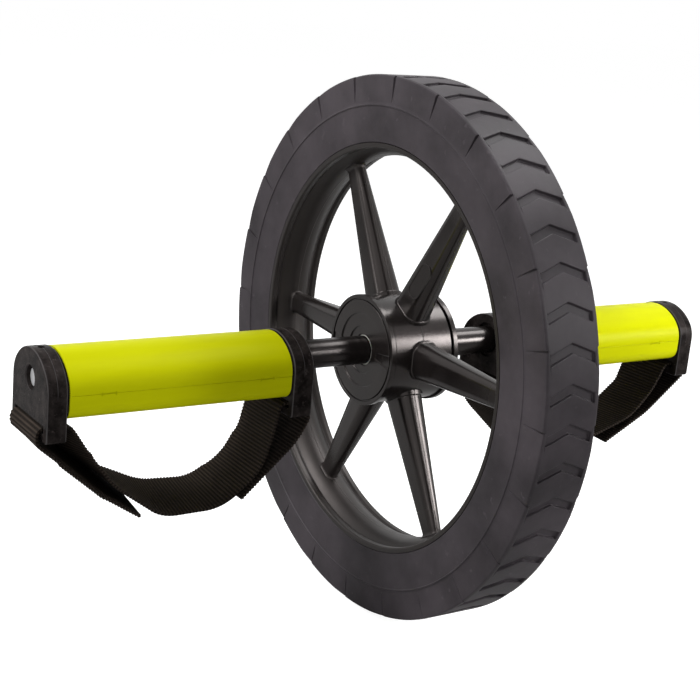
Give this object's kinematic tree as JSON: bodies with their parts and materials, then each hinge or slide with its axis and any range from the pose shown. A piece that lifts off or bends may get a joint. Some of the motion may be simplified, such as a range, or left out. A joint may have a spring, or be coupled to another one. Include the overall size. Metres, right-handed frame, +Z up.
{
  "type": "ab wheel roller",
  "caption": "Exercise roller: a spoked wheel with a grooved tyre turns on a through axle between grips with end caps and adjustable hanging webbing straps for hands or feet.",
  "frame": {"origin": "centre of the wheel on the axle's centre line", "axes": "+Y along the axle from the left grip to the right grip, +Z up with the grips' flat undersides facing down, +X the rolling direction"},
  "size_m": [0.33, 0.4752, 0.33],
  "materials": {
    "tyre_rubber": "matte dark grey rubber",
    "wheel_plastic": "black moulded plastic, half gloss",
    "cap_plastic": "black moulded plastic, half matte",
    "grip_lime": "lime yellow smooth plastic",
    "webbing": "black ribbed webbing",
    "steel": "bright drawn steel",
    "bush_nylon": "natural nylon"
  },
  "bodies": {
    "handles": {"axle": "steel", "left_spacer": "cap_plastic", "left_inner_cap": "cap_plastic", "left_outer_cap": "cap_plastic", "left_grip_upper": "grip_lime", "left_grip_lower": "grip_lime", "left_grub_screw": "steel", "left_strap": "webbing", "right_spacer": "cap_plastic", "right_inner_cap": "cap_plastic", "right_outer_cap": "cap_plastic", "right_grip_upper": "grip_lime", "right_grip_lower": "grip_lime", "right_grub_screw": "steel", "right_strap": "webbing"},
    "rolling_wheel": {"tyre": "tyre_rubber", "wheel": "wheel_plastic", "left_axle_bush": "bush_nylon", "left_hub_end_cap": "wheel_plastic", "right_axle_bush": "bush_nylon", "right_hub_end_cap": "wheel_plastic"}
  },
  "joints": [
    {"name": "wheel_spin", "type": "hinge", "parent": "handles", "child": "rolling_wheel", "pos_m": [0, 0, 0], "axis": [0, 1, 0], "continuous": true}
  ]
}
